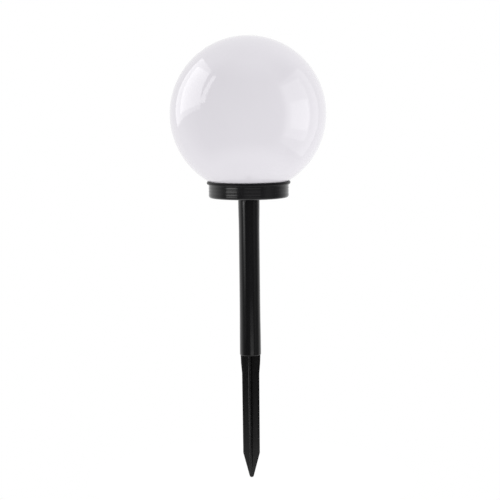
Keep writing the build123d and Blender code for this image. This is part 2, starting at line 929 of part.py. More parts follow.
parts = {
    "ground_stake": make_stake(),
    "pole_tube": make_pole(),
    "base_cup": make_cup(),
    "globe": make_globe(),
    "globe_seal": make_globe_seal(),
    "module_plate": make_plate(),
    "panel_board": panel_disc(panel_radius, plate_top, board_top),
    "solar_cells": cells,
    "cell_ribbons": ribbons,
    "panel_resin": make_resin(cells, ribbons),
    "led_lamp": make_led(),
    "led_leads": make_led_leads(),
    "circuit_board": make_pcb(),
    "driver_chip": make_chip(),
    "chip_pins": make_chip_pins(),
    "choke_core": make_choke_core(),
    "choke_winding": make_choke_winding(),
    "battery_cell": make_battery_cell(),
    "battery_sleeve": make_battery_sleeve(),
    "positive_contact": make_contact(positive_face),
    "negative_contact": make_contact(negative_face - contact_thickness),
    "battery_spring": make_battery_spring(),
    "switch_housing": make_switch_housing(),
    "switch_pins": make_switch_pins(),
    "switch_knob": make_switch_knob(),
    "panel_wire_red": make_panel_wire(1),
    "panel_wire_black": make_panel_wire(-1),
    "battery_wire_red": make_battery_wire(1),
    "battery_wire_black": make_battery_wire(-1),
    "housing_screws": make_housing_screws(),
    "board_screws": make_board_screws(),
}

os.makedirs("parts", exist_ok=True)
for name, shape in parts.items():
    export_step(shape, f"parts/{name}.step")
    print(f"{name}: {len(shape.solids())} solids, {shape.volume:.1f} mm3")
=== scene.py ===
import math

import bmesh
import bpy
from mathutils import Matrix, Vector


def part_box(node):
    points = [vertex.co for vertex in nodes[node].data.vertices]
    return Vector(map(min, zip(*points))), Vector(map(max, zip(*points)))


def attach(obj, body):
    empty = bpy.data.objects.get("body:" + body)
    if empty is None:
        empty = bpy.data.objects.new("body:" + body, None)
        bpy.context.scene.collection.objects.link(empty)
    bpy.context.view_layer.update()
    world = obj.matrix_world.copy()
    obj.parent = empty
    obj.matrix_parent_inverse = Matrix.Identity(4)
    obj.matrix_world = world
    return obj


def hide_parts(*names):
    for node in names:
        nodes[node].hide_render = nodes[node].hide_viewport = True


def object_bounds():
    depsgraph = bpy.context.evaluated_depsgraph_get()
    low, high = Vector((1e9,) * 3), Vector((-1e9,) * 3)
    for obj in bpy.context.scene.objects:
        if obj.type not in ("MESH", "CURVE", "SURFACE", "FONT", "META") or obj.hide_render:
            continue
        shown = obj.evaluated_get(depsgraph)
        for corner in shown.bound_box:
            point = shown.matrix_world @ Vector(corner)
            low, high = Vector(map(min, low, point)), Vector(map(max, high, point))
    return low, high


# Garden globe light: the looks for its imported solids. Lengths in the dictionaries are
# millimetres and angles are degrees; the meshes are metres, in the solids' own frame.

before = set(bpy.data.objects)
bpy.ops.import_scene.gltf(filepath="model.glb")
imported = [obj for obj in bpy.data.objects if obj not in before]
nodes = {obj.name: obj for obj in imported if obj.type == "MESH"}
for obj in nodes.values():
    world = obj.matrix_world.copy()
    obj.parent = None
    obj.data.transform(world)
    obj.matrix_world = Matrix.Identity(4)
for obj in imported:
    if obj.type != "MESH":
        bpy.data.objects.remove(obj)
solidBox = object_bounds()
mm = 0.001
print("frame loaded:", len(nodes), "nodes")


def inScene(name, data):
    item = bpy.data.objects.new(name, data)
    bpy.context.scene.collection.objects.link(item)
    return item


# where the photograph was taken from
cameraLook = {
    "distance": 1500.0,       # in front of the pole
    "height": 263.8,
    "tilt": 6.142,            # down
    "roll": -0.618,
    "pan": -0.023,
    "lens": 112.39,
    "sensor": 36.0,
    "near": 50.0,
    "far": 50000.0,
}

camera = inScene("camera", bpy.data.cameras.new("camera"))
bpy.context.scene.camera = camera
bpy.context.scene.view_settings.view_transform = "Standard"
camera.data.lens = cameraLook["lens"]
camera.data.sensor_width = cameraLook["sensor"]
camera.data.clip_start = cameraLook["near"] * mm
camera.data.clip_end = cameraLook["far"] * mm
camera.matrix_world = (
    Matrix.Translation((0, -cameraLook["distance"] * mm, cameraLook["height"] * mm))
    @ Matrix.Rotation(math.radians(cameraLook["pan"]), 4, "Z")
    @ Matrix.Rotation(math.radians(90 - cameraLook["tilt"]), 4, "X")
    @ Matrix.Rotation(math.radians(cameraLook["roll"]), 4, "Z")
)


# the shader's sockets that a finish sets directly
socketNames = {
    "colour": "Base Color",
    "metallic": "Metallic",
    "roughness": "Roughness",
    "ior": "IOR",
    "specular": "Specular IOR Level",
    "coat": "Coat Weight",
    "coatRoughness": "Coat Roughness",
    "coatIor": "Coat IOR",
    "transmission": "Transmission Weight",
    "alpha": "Alpha",
}


def newFinish(name, **sockets):
    material = bpy.data.materials.new(name)
    material.use_nodes = True
    shader = material.node_tree.nodes["Principled BSDF"]
    for socket, value in sockets.items():
        shader.inputs[socketNames[socket]].default_value = value
    return material, material.node_tree, shader


def placeOn(tree, stretch=(1, 1, 1)):
    # where a point lies on the piece, in metres
    coordinates = tree.nodes.new("ShaderNodeTexCoord")
    mapping = tree.nodes.new("ShaderNodeMapping")
    mapping.inputs["Scale"].default_value = stretch
    tree.links.new(coordinates.outputs["Object"], mapping.inputs["Vector"])
    return mapping.outputs["Vector"]


def axisOn(tree, axis):
    # how far along X, Y or Z a point lies
    axes = tree.nodes.new("ShaderNodeSeparateXYZ")
    tree.links.new(placeOn(tree), axes.inputs["Vector"])
    return axes.outputs[axis]


def noiseOn(tree, place, size, detail=3.0):
    # size is the width of a blotch in millimetres
    noise = tree.nodes.new("ShaderNodeTexNoise")
    noise.inputs["Scale"].default_value = 1 / (size * mm)
    noise.inputs["Detail"].default_value = detail
    tree.links.new(place, noise.inputs["Vector"])
    return noise.outputs["Fac"]


def spread(tree, source, fromLow, fromHigh, toLow, toHigh):
    remap = tree.nodes.new("ShaderNodeMapRange")
    remap.inputs["From Min"].default_value = fromLow
    remap.inputs["From Max"].default_value = fromHigh
    remap.inputs["To Min"].default_value = toLow
    remap.inputs["To Max"].default_value = toHigh
    tree.links.new(source, remap.inputs["Value"])
    return remap.outputs["Result"]


def maths(tree, operation, first, second=0.0):
    node = tree.nodes.new("ShaderNodeMath")
    node.operation = operation
    for socket, value in zip(node.inputs, (first, second)):
        if isinstance(value, (int, float)):
            socket.default_value = value
        else:
            tree.links.new(value, socket)
    return node.outputs["Value"]


def blendColours(tree, factor, first, second):
    mix = tree.nodes.new("ShaderNodeMix")
    mix.data_type = "RGBA"
    sockets = [s for s in mix.inputs if s.type == "RGBA"]
    for socket, value in zip(sockets, (first, second)):
        if isinstance(value, tuple):
            socket.default_value = value
        else:
            tree.links.new(value, socket)
    tree.links.new(factor, mix.inputs["Factor"])
    return [s for s in mix.outputs if s.type == "RGBA"][0]


def addRelief(tree, shader, height, depth, into="Normal"):
    # depth is how deep the relief goes, in millimetres
    relief = tree.nodes.new("ShaderNodeBump")
    relief.inputs["Distance"].default_value = depth * mm
    tree.links.new(height, relief.inputs["Height"])
    tree.links.new(relief.outputs["Normal"], shader.inputs[into])


def shaded(colour, share):
    return tuple(level * share for level in colour[:3]) + (1.0,)


noiseRange = (0.3, 0.7)       # where most of a noise's values lie
wideRange = (0.25, 0.75)

mouldedLook = {
    "patch": 9.0,             # width of the patches that differ in gloss and colour
    "darker": 0.8,
    "skinDetail": 4.0,
}


def moulded(name, colour, roughness, grain, depth, drift=0.05, **more):
    # plain moulded plastic: slightly uneven gloss and a fine skin
    look = mouldedLook
    material, tree, shader = newFinish(name, colour=colour, **more)
    place = placeOn(tree)
    patches = noiseOn(tree, place, look["patch"])
    skin = noiseOn(tree, place, grain, look["skinDetail"])
    gloss = spread(tree, patches, *noiseRange, roughness - drift, roughness + drift)
    shades = spread(tree, patches, *wideRange, 0, 1)
    uneven = blendColours(tree, shades, shaded(colour, look["darker"]), colour)
    tree.links.new(gloss, shader.inputs["Roughness"])
    tree.links.new(uneven, shader.inputs["Base Color"])
    addRelief(tree, shader, skin, depth)
    return material


brushedLook = {
    "line": 0.3,
    "patch": 2.5,
    "detail": 2.0,
    "duller": 0.78,
    "glossDrift": (0.75, 1.3),             # shares of the roughness
    "relief": 0.006,
}


def brushed(name, colour, roughness, stretch=(1, 1, 1)):
    # drawn or plated metal with fine lines
    look = brushedLook
    material, tree, shader = newFinish(name, colour=colour, metallic=1.0)
    lines = noiseOn(tree, placeOn(tree, stretch), look["line"], look["detail"])
    patches = noiseOn(tree, placeOn(tree), look["patch"])
    low, high = look["glossDrift"]
    gloss = spread(tree, patches, *noiseRange, roughness * low, roughness * high)
    shades = spread(tree, lines, *noiseRange, 0, 1)
    uneven = blendColours(tree, shades, shaded(colour, look["duller"]), colour)
    tree.links.new(gloss, shader.inputs["Roughness"])
    tree.links.new(uneven, shader.inputs["Base Color"])
    addRelief(tree, shader, lines, look["relief"])
    return material


opalLook = {
    "colour": (0.770, 0.749, 0.795, 1.0),
    "roughness": 0.45,
    "coatRoughness": 0.06,
    "coatIor": 1.5,
    "patch": 55.0,            # width of the patches that are a little thinner
    "patchDetail": 1.0,
    "thinner": 0.985,
    "ripple": 22.0,           # width and depth of the waves in the gloss
    "rippleDepth": 0.05,
    "rippleDetail": 0.0,
}


def opalFinish():
    look = opalLook
    material, tree, shader = newFinish(
        "opalPlastic",
        colour=look["colour"],
        roughness=look["roughness"],
        specular=0.0,         # the coat has all the gloss
        coat=1.0,
        coatRoughness=look["coatRoughness"],
        coatIor=look["coatIor"],
    )
    patches = noiseOn(tree, placeOn(tree), look["patch"], look["patchDetail"])
    shades = spread(tree, patches, *noiseRange, 0, 1)
    uneven = blendColours(tree, shades, shaded(look["colour"], look["thinner"]), look["colour"])
    tree.links.new(uneven, shader.inputs["Base Color"])
    ripple = noiseOn(tree, placeOn(tree), look["ripple"], look["rippleDetail"])
    addRelief(tree, shader, ripple, look["rippleDepth"], into="Coat Normal")
    return material


poleLook = {
    "colour": (0.0034, 0.0034, 0.0038, 1.0),
    "roughness": 0.15,
    "glossDrift": (-0.04, 0.06),
    "drawLine": 1.6,          # width of the lines that the die leaves along the tube
    "drawStretch": 0.02,      # how little they change along it
    "peel": 2.2,              # width of the finer waves between them
    "peelShare": 0.35,
    "patch": 6.0,
    "patchStretch": 0.25,
    "detail": 2.0,
    "relief": 0.02,
}


def poleFinish():
    look = poleLook
    material, tree, shader = newFinish("extrudedBlack", colour=look["colour"])
    alongTube = placeOn(tree, (1, 1, look["drawStretch"]))
    lines = noiseOn(tree, alongTube, look["drawLine"], look["detail"])
    peel = noiseOn(tree, placeOn(tree), look["peel"], look["detail"])
    patches = noiseOn(tree, placeOn(tree, (1, 1, look["patchStretch"])), look["patch"])
    low, high = (look["roughness"] + drift for drift in look["glossDrift"])
    gloss = spread(tree, patches, *noiseRange, low, high)
    tree.links.new(gloss, shader.inputs["Roughness"])
    height = maths(tree, "ADD", lines, maths(tree, "MULTIPLY", peel, look["peelShare"]))
    addRelief(tree, shader, height, look["relief"])
    return material


cupLook = {
    "colour": (0.009, 0.0087, 0.0098, 1.0),
    "grain": 0.5,
    "relief": 0.004,
    "roughness": 0.17,
    "lipRoughness": 0.34,     # the lip is duller
    "lipSpecular": 0.15,
}


def cupFinish(name, roughness, **more):
    look = cupLook
    return moulded(name, look["colour"], roughness, look["grain"], look["relief"], **more)


lipFinish = cupFinish("lipBlack", cupLook["lipRoughness"], specular=cupLook["lipSpecular"])


stakeLook = {
    "colour": (0.0019, 0.0019, 0.0021, 1.0),
    "roughness": 0.27,
    "specular": 0.3,
    "grain": 1.6,
    "relief": 0.004,
    "dust": (0.03, 0.03, 0.029, 1.0),
    "speck": 1.3,             # width of a speck, and of a patch that has specks
    "patch": 14.0,
    "dustDetail": 1.0,
    "speckRange": (0.66, 0.74),
    "patchRange": (0.5, 0.6),
}


def stakeFinish():
    # moulded black with a few specks of dust
    look = stakeLook
    material = moulded(
        "stakeBlack",
        look["colour"],
        look["roughness"],
        look["grain"],
        look["relief"],
        specular=look["specular"],
    )
    tree = material.node_tree
    specks = noiseOn(tree, placeOn(tree), look["speck"], look["dustDetail"])
    patches = noiseOn(tree, placeOn(tree), look["patch"], look["dustDetail"])
    dusty = maths(
        tree,
        "MULTIPLY",
        spread(tree, specks, *look["speckRange"], 0, 1),
        spread(tree, patches, *look["patchRange"], 0, 1),
    )
    tree.links.new(
        blendColours(tree, dusty, look["colour"], look["dust"]),
        tree.nodes["Principled BSDF"].inputs["Base Color"],
    )
    return material


def stripes(tree, axis, pitch, width, soft):
    # thin lines across one axis of the piece, 1 on a line and 0 beside it; pitch and width
    # in millimetres, soft a share of the line's half width
    along = maths(tree, "FRACT", maths(tree, "MULTIPLY", axisOn(tree, axis), 1 / (pitch * mm)))
    away = maths(tree, "ABSOLUTE", maths(tree, "SUBTRACT", along, 0.5))
    half = width / pitch / 2
    return spread(tree, away, half * (1 - soft), half * (1 + soft), 1.0, 0.0)


cellLook = {
    "colour": (0.012, 0.02, 0.07, 1.0),
    "lighter": 1.7,           # the palest crystals
    "crystal": 2.4,
    "finger": (0.45, 0.46, 0.48, 1.0),
    "fingerPitch": 1.5,
    "fingerWidth": 0.11,
    "fingerSoft": 0.3,
    "roughness": 0.25,
    "grain": 1.5,
    "relief": 0.002,
}


def siliconFinish():
    # blue crystals with printed silver fingers across each strip
    look = cellLook
    material = moulded(
        "silicon", look["colour"], look["roughness"], look["grain"], look["relief"]
    )
    tree = material.node_tree
    crystals = tree.nodes.new("ShaderNodeTexVoronoi")
    crystals.inputs["Scale"].default_value = 1 / (look["crystal"] * mm)
    tree.links.new(placeOn(tree), crystals.inputs["Vector"])
    shades = tree.nodes.new("ShaderNodeSeparateColor")
    tree.links.new(crystals.outputs["Color"], shades.inputs["Color"])
    lighter = shaded(look["colour"], look["lighter"])
    blue = blendColours(tree, shades.outputs["Red"], look["colour"], lighter)
    lines = stripes(tree, "Y", look["fingerPitch"], look["fingerWidth"], look["fingerSoft"])
    tree.links.new(
        blendColours(tree, lines, blue, look["finger"]),
        tree.nodes["Principled BSDF"].inputs["Base Color"],
    )
    return material


sleeveLook = {
    "colour": (0.03, 0.26, 0.09, 1.0),
    "band": (0.62, 0.64, 0.60, 1.0),
    "bandFrom": 13.0,         # towards the cell's button, which faces +X
    "bandTo": 16.0,
    "bandSoft": 0.05,
    "roughness": 0.3,
    "grain": 1.0,
    "relief": 0.006,
}


def sleeveFinish():
    # shrink film with a plain pale band near the button end
    look = sleeveLook
    material = moulded(
        "sleeveGreen", look["colour"], look["roughness"], look["grain"], look["relief"]
    )
    tree = material.node_tree
    across = axisOn(tree, "X")
    start, end, soft = (look[key] * mm for key in ("bandFrom", "bandTo", "bandSoft"))
    band = maths(
        tree,
        "MULTIPLY",
        spread(tree, across, start - soft, start + soft, 0.0, 1.0),
        spread(tree, across, end - soft, end + soft, 1.0, 0.0),
    )
    tree.links.new(
        blendColours(tree, band, look["colour"], look["band"]),
        tree.nodes["Principled BSDF"].inputs["Base Color"],
    )
    return material


# a moulded finish has a colour, a roughness, the width and depth of its grain, and how far
# its gloss drifts
phosphor = moulded("phosphor", (0.82, 0.62, 0.08, 1), 0.55, 0.2, 0.01)
finishes = {
    "opal_plastic": opalFinish(),
    "cup_black": cupFinish("cupBlack", cupLook["roughness"]),
    "pole_black": poleFinish(),
    "stake_black": stakeFinish(),
    "seal_grey": moulded("sealRubber", (0.10, 0.10, 0.105, 1), 0.7, 0.3, 0.02),
    "module_black": moulded("moduleBlack", (0.02, 0.02, 0.021, 1), 0.45, 0.4, 0.015),
    "board_white": moulded("boardWhite", (0.72, 0.71, 0.66, 1), 0.5, 0.3, 0.01),
    "silicon": siliconFinish(),
    "tinned_ribbon": brushed("tinnedRibbon", (0.75, 0.76, 0.78, 1), 0.3),
    "clear_resin": moulded(
        "clearResin", (0.97, 0.97, 0.94, 1), 0.06, 2.0, 0.004, 0.02, transmission=1.0, alpha=0.3
    ),
    "lamp_clear": moulded(
        "lampClear", (0.98, 0.98, 0.96, 1), 0.04, 2.0, 0.002, 0.01, transmission=1.0, ior=1.53
    ),
    "tinned_wire": brushed("tinnedWire", (0.76, 0.77, 0.78, 1), 0.28),
    "board_green": moulded("boardGreen", (0.02, 0.13, 0.055, 1), 0.35, 0.3, 0.008),
    "chip_black": moulded("chipBlack", (0.022, 0.022, 0.024, 1), 0.55, 0.12, 0.01),
    "ferrite": moulded("ferrite", (0.035, 0.033, 0.032, 1), 0.5, 0.15, 0.02),
    "copper": brushed("enamelledCopper", (0.72, 0.28, 0.12, 1), 0.3, stretch=(0.05, 0.05, 1)),
    "cell_steel": brushed("cellSteel", (0.66, 0.66, 0.66, 1), 0.3),
    "sleeve_green": sleeveFinish(),
    "contact_nickel": brushed("contactNickel", (0.70, 0.67, 0.61, 1), 0.28),
    "switch_black": moulded("switchBlack", (0.018, 0.018, 0.018, 1), 0.4, 0.3, 0.01),
    "knob_white": moulded("knobWhite", (0.78, 0.78, 0.76, 1), 0.4, 0.3, 0.01),
    "wire_red": moulded("wireRed", (0.45, 0.012, 0.01, 1), 0.35, 0.4, 0.008),
    "wire_black": moulded("wireBlack", (0.014, 0.014, 0.014, 1), 0.38, 0.4, 0.008),
    "screw_steel": brushed("screwSteel", (0.56, 0.57, 0.58, 1), 0.3),
}
print("finishes made:", len(finishes))


solidLook = {
    "weld": 0.002,
    "sharpFrom": 28.0,        # an edge is sharp from this angle between its faces
    "softEdges": {"ground_stake": 0.45},   # how wide, by node
    "softFrom": 30.0,
    "softSegments": 3,
}


def dressNode(name, slotName):
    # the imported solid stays: one mesh again, smooth on its rounds, with its own finish
    look = solidLook
    node = nodes[name]
    node.data.materials.clear()
    node.data.materials.append(finishes[slotName])
    for face in node.data.polygons:
        face.material_index = 0
        face.use_smooth = True
    weld = node.modifiers.new("weld", "WELD")
    weld.merge_threshold = look["weld"] * mm
    if name in look["softEdges"]:
        soften = node.modifiers.new("softEdges", "BEVEL")
        soften.width = look["softEdges"][name] * mm
        soften.segments = look["softSegments"]
        soften.limit_method = "ANGLE"
        soften.angle_limit = math.radians(look["softFrom"])
    split = node.modifiers.new("edgeSplit", "EDGE_SPLIT")
    split.split_angle = math.radians(look["sharpFrom"])
    split.use_edge_sharp = False
    node.modifiers.new("weightedNormal", "WEIGHTED_NORMAL")


nodeSlots = {
    "ground_stake": "stake_black",
    "pole_tube": "pole_black",
    "base_cup": "cup_black",
    "globe": "opal_plastic",
    "globe_seal": "seal_grey",
    "module_plate": "module_black",
    "panel_board": "board_white",
    "solar_cells": "silicon",
    "cell_ribbons": "tinned_ribbon",
    "panel_resin": "clear_resin",
    "led_lamp": "lamp_clear",
    "led_leads": "tinned_wire",
    "circuit_board": "board_green",
    "driver_chip": "chip_black",
    "chip_pins": "tinned_wire",
    "choke_core": "ferrite",
    "choke_winding": "copper",
    "battery_cell": "cell_steel",
    "battery_sleeve": "sleeve_green",
    "positive_contact": "contact_nickel",
    "negative_contact": "contact_nickel",
    "battery_spring": "contact_nickel",
    "switch_housing": "switch_black",
    "switch_pins": "tinned_wire",
    "switch_knob": "knob_white",
    "panel_wire_red": "wire_red",
    "panel_wire_black": "wire_black",
    "battery_wire_red": "wire_red",
    "battery_wire_black": "wire_black",
    "housing_screws": "screw_steel",
    "board_screws": "screw_steel",
}
for name, slotName in nodeSlots.items():
    dressNode(name, slotName)
print("solids dressed")


def meshData(name, mesh):
    # the bmesh as mesh data; the bmesh is used up
    data = bpy.data.meshes.new(name)
    mesh.to_mesh(data)
    mesh.free()
    return data


def finishPiece(name, mesh, slotName, body, replaced=(), sharpAngle=30):
    mesh.normal_update()
    data = meshData(name, mesh)
    data.shade_smooth()
    data.set_sharp_from_angle(angle=math.radians(sharpAngle))
    data.materials.append(finishes[slotName])
    piece = inScene(name, data)
    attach(piece, body)
    if replaced:
        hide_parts(*replaced)
    return piece


def bevelled(mesh, parts, affect, offset, segments):
    bmesh.ops.bevel(
        mesh,
        geom=parts,
        offset=offset * mm,
        offset_type="OFFSET",
        segments=segments,
        profile=0.5,
        affect=affect,
        material=-1,
    )


cornerSegments = 5            # of a rounded corner that doesn't give its own


def outline(mesh, corners, closed=True):
    # wire of (radius, height) corners in the XZ plane; a third number rounds the corner and
    # a fourth gives its segments
    verts = [mesh.verts.new((c[0] * mm, 0, c[1] * mm)) for c in corners]
    pairs = list(zip(verts, verts[1:]))
    if closed:
        pairs.append((verts[-1], verts[0]))
    for pair in pairs:
        mesh.edges.new(pair)
    for vert, corner in zip(verts, corners):
        if len(corner) > 2:
            offset, segments = (*corner[2:], cornerSegments)[:2]
            bevelled(mesh, [vert], "VERTICES", offset, segments)


def addTo(mesh, other):
    # the other mesh's pieces join this one
    bmesh.ops.recalc_face_normals(other, faces=other.faces)
    data = meshData("joining", other)
    mesh.from_mesh(data)
    bpy.data.meshes.remove(data)


def holderOf(mesh, name):
    bmesh.ops.recalc_face_normals(mesh, faces=mesh.faces)
    return inScene(name, meshData(name, mesh))


def carved(mesh, tool, operation):
    # mesh with the tool's solids joined to it or cut out of it
    body, cutter = holderOf(mesh, "carvedBody"), holderOf(tool, "carvingTool")
    boolean = body.modifiers.new("carve", "BOOLEAN")
    boolean.operation = operation
    boolean.solver = "EXACT"
    boolean.use_self = True   # the tool's own solids overlap
    boolean.object = cutter
    shaped = body.evaluated_get(bpy.context.evaluated_depsgraph_get())
    result = bmesh.new()
    result.from_mesh(shaped.to_mesh())
    for holder in (body, cutter):
        data = holder.data
        bpy.data.objects.remove(holder)
        bpy.data.meshes.remove(data)
    return result


mergeWithin = 0.0005          # millimetres; points nearer than this become one


def turnRound(mesh, steps):
    # full turn of the wire about Z, closed at the poles and the seam
    bmesh.ops.spin(
        mesh,
        geom=mesh.verts[:] + mesh.edges[:],
        cent=(0, 0, 0),
        axis=(0, 0, 1),
        dvec=(0, 0, 0),
        angle=math.tau,
        steps=steps,
        use_merge=True,
        use_duplicate=False,
    )
    bmesh.ops.remove_doubles(mesh, verts=mesh.verts, dist=mergeWithin * mm)
    bmesh.ops.recalc_face_normals(mesh, faces=mesh.faces)


globeShape = {
    "radius": 75.0,
    "wall": 1.5,
    "neckBore": 32.01,
    "neckRadius": 33.61,
    "neckEdge": 0.5,
    "neckSegments": 3,
    "steps": 160,             # round the ball, and down its outer and inner arcs
    "outerSteps": 90,
    "innerSteps": 60,
    "threadLead": 18.0,
    "thirds": (0, 120, 240),  # where its three ribs and their lugs stand
    "ribHeight": 1.6,
    "ribReach": 1.3,
    "ribRoot": 0.6,           # sunk in the wall that it stands on
    "ribBehind": 55.0,        # on the loosening side of its lug
    "ribAhead": 10.0,
    "ribSteps": 20,
    "stopStart": 8.8,
    "stopSweep": 4.0,
    "stopSteps": 2,
    "lugDrop": 5.5,           # lugs below the cup's top
    "lugSweep": 16.0,
    "lugReach": 1.9,
    "lugSteps": 7,
    "threadGap": 0.2,
}
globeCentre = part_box("globe")[1].z / mm - globeShape["radius"]


def arcWire(mesh, radius, top, bottom, steps):
    # wire arc in the XZ plane about the ball's centre, from one height angle down to another
    start = mesh.verts.new(
        (radius * math.cos(top) * mm, 0, (globeCentre + radius * math.sin(top)) * mm)
    )
    made = bmesh.ops.spin(
        mesh,
        geom=[start],
        cent=(0, 0, globeCentre * mm),
        axis=(0, 1, 0),
        dvec=(0, 0, 0),
        angle=top - bottom,
        steps=steps,
        use_merge=False,
        use_duplicate=False,
    )
    return [v for v in made["geom_last"] if isinstance(v, bmesh.types.BMVert)][0]


def sweepRound(mesh, section, level, startAngle, sweepAngle, lead, steps):
    # closed (radius, height) section swept about Z, rising by the lead in a full turn
    about = Matrix.Rotation(math.radians(startAngle), 4, "Z")
    lift = level + lead * startAngle / 360
    corners = [about @ Vector((r * mm, 0, (z + lift) * mm)) for r, z in section]
    face = mesh.faces.new([mesh.verts.new(corner) for corner in corners])
    bmesh.ops.spin(
        mesh,
        geom=[face] + face.edges[:] + face.verts[:],
        cent=(0, 0, 0),
        axis=(0, 0, 1),
        dvec=(0, 0, lead * sweepAngle / 360 / steps * mm),
        angle=math.radians(sweepAngle),
        steps=steps,
        use_merge=False,
        use_duplicate=False,
    )


def ribSection(wall, reach):
    root = wall - math.copysign(globeShape["ribRoot"], reach)
    flank, crest = globeShape["ribHeight"] / 2, globeShape["ribHeight"] / 4
    return [(root, -flank), (wall + reach, -crest), (wall + reach, crest), (root, flank)]


def makeGlobe():
    shape = globeShape
    lead, bore, neck = shape["threadLead"], shape["neckBore"], shape["neckRadius"]
    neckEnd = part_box("globe")[0].z / mm
    outer, inner = shape["radius"], shape["radius"] - shape["wall"]
    mesh = bmesh.new()
    outerEnd = arcWire(mesh, outer, math.pi / 2, -math.acos(neck / outer), shape["outerSteps"])
    innerEnd = arcWire(mesh, inner, math.pi / 2, -math.acos(bore / inner), shape["innerSteps"])
    lips = [mesh.verts.new((radius * mm, 0, neckEnd * mm)) for radius in (neck, bore)]
    mesh.edges.new((outerEnd, lips[0]))
    mesh.edges.new((lips[0], lips[1]))
    mesh.edges.new((lips[1], innerEnd))
    bevelled(mesh, lips, "VERTICES", shape["neckEdge"], shape["neckSegments"])
    turnRound(mesh, shape["steps"])
    ribLevel = lugLevel - shape["ribHeight"] - shape["threadGap"]
    stopTop = lugLevel + shape["ribHeight"] / 4
    root, crest = neck - shape["ribRoot"], neck + shape["ribReach"]
    stop = [(root, ribLevel), (crest, ribLevel), (crest, stopTop), (root, stopTop)]
    for third in shape["thirds"]:
        thread = bmesh.new()
        sweepRound(
            thread,
            ribSection(neck, shape["ribReach"]),
            ribLevel - lead * third / 360,
            third - shape["ribBehind"],
            shape["ribBehind"] + shape["ribAhead"],
            lead,
            shape["ribSteps"],
        )
        stopStart = third + shape["stopStart"]
        sweepRound(thread, stop, 0, stopStart, shape["stopSweep"], 0, shape["stopSteps"])
        addTo(mesh, thread)
    finishPiece("opalGlobe", mesh, "opal_plastic", "globe", ["globe"])


cupShape = {
    "radius": 38.51,
    "bore": 35.91,
    "floor": 2.0,
    "steps": 160,
    "bottomRound": 2.2,
    "floorRound": 0.4,
    "rimRadius": 40.21,
    "rimHeight": 2.8,
    "rimRound": 1.1,
    "rimRoot": 0.25,
    "lipRadius": 39.1,
    "lipStart": 0.05,         # its duller finish starts this far below the rim,
    "lipInset": 0.2,          # on faces no further inside the side than this
    "seatDrop": 1.84,         # where the seat meets the bore, below the cup's top
    "rippleFirst": 4.5,
    "ripplePitch": 3.2,
    "rippleCount": 3,
    "rippleWidth": 2.2,
    "rippleDepth": 0.12,
    "rippleSteps": 8,
    "spigotRadius": 8.68,
    "spigotBore": 7.08,
    "spigotLength": 30.0,
    "spigotChamfer": 1.0,
    "spigotRounds": (0.3, 0.2, 0.15, 0.3, 0.5),      # down its bore, round its end and up its side
    "tunnelRadius": 4.1,
    "tunnelRise": 2.6,
    "wellRadius": 2.9,
    "wellDepth": 3.0,
    "shaftRadius": 1.5,
    "screwRecess": 1.3,       # screw heads above the underside
    "screwCircle": 27.21,
    "screwAngles": (30, 150, 270),
    "roundSides": 40,         # of a post or a hole
    "pocketSize": (13.0, 6.6),
    "pocketDepth": 0.8,
    "pocketCorner": 1.2,
    "slotSize": (4.0, 2.0),
    "slotCorner": 0.2,
    "switchY": 19.0,
    "overlap": 0.5,           # posts start this far inside the floor, shafts this far up a well
    "overshoot": 1.0,         # cuts reach this far past what they cut
}
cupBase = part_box("housing_screws")[0].z / mm - cupShape["screwRecess"]
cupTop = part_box("base_cup")[1].z / mm
lugLevel = cupTop - globeShape["lugDrop"]


def upright(mesh, radius, place, bottom, top):
    # round post between two levels
    bmesh.ops.create_cone(
        mesh,
        cap_ends=True,
        segments=cupShape["roundSides"],
        radius1=radius * mm,
        radius2=radius * mm,
        depth=(top - bottom) * mm,
        matrix=Matrix.Translation((place[0] * mm, place[1] * mm, (bottom + top) / 2 * mm)),
    )


touching = 1e-6               # metres; heights nearer than this are the same
blockSegments = 6


def roundedBlock(mesh, size, corner, place, bottom, top):
    # block with its four upright edges rounded
    made = bmesh.ops.create_cube(
        mesh,
        size=1.0,
        matrix=Matrix.Translation((place[0] * mm, place[1] * mm, (bottom + top) / 2 * mm))
        @ Matrix.Diagonal((size[0] * mm, size[1] * mm, (top - bottom) * mm, 1)),
    )
    uprights = {
        edge
        for vert in made["verts"]
        for edge in vert.link_edges
        if abs(edge.verts[0].co.z - edge.verts[1].co.z) > touching
    }
    bevelled(mesh, list(uprights), "EDGES", corner, blockSegments)


def rippleCorners(middle):
    # shallow round groove as a few points, upwards
    shape = cupShape
    turns = [math.pi * (i / shape["rippleSteps"] - 0.5) for i in range(shape["rippleSteps"] + 1)]
    return [
        (
            shape["radius"] - shape["rippleDepth"] * math.cos(turn),
            middle + shape["rippleWidth"] / 2 * math.sin(turn),
        )
        for turn in turns
    ]


def cupProfile(floorTop):
    shape = cupShape
    side, edge, bore = shape["radius"], shape["rimRound"], shape["bore"]
    spigot, hollow = shape["spigotRadius"], shape["spigotBore"]
    spigotEnd = cupBase - shape["spigotLength"]
    rimStart = cupTop - shape["rimHeight"]
    rounds = shape["spigotRounds"]
    corners = [
        (0, cupBase),
        (hollow, cupBase, rounds[0]),
        (hollow, spigotEnd, rounds[1]),
        (spigot - shape["spigotChamfer"] / 2, spigotEnd, rounds[2]),
        (spigot, spigotEnd + shape["spigotChamfer"], rounds[3]),
        (spigot, cupBase, rounds[4]),
        (side, cupBase, shape["bottomRound"]),
    ]
    for i in range(shape["rippleCount"]):
        corners += rippleCorners(cupBase + shape["rippleFirst"] + i * shape["ripplePitch"])
    return corners + [
        (side, rimStart, shape["rimRoot"]),
        (shape["rimRadius"], rimStart, edge),
        (shape["rimRadius"], cupTop, edge),
        (shape["lipRadius"], cupTop),
        (bore, cupTop - shape["seatDrop"]),
        (bore, floorTop, shape["floorRound"]),
        (0, floorTop),
    ]


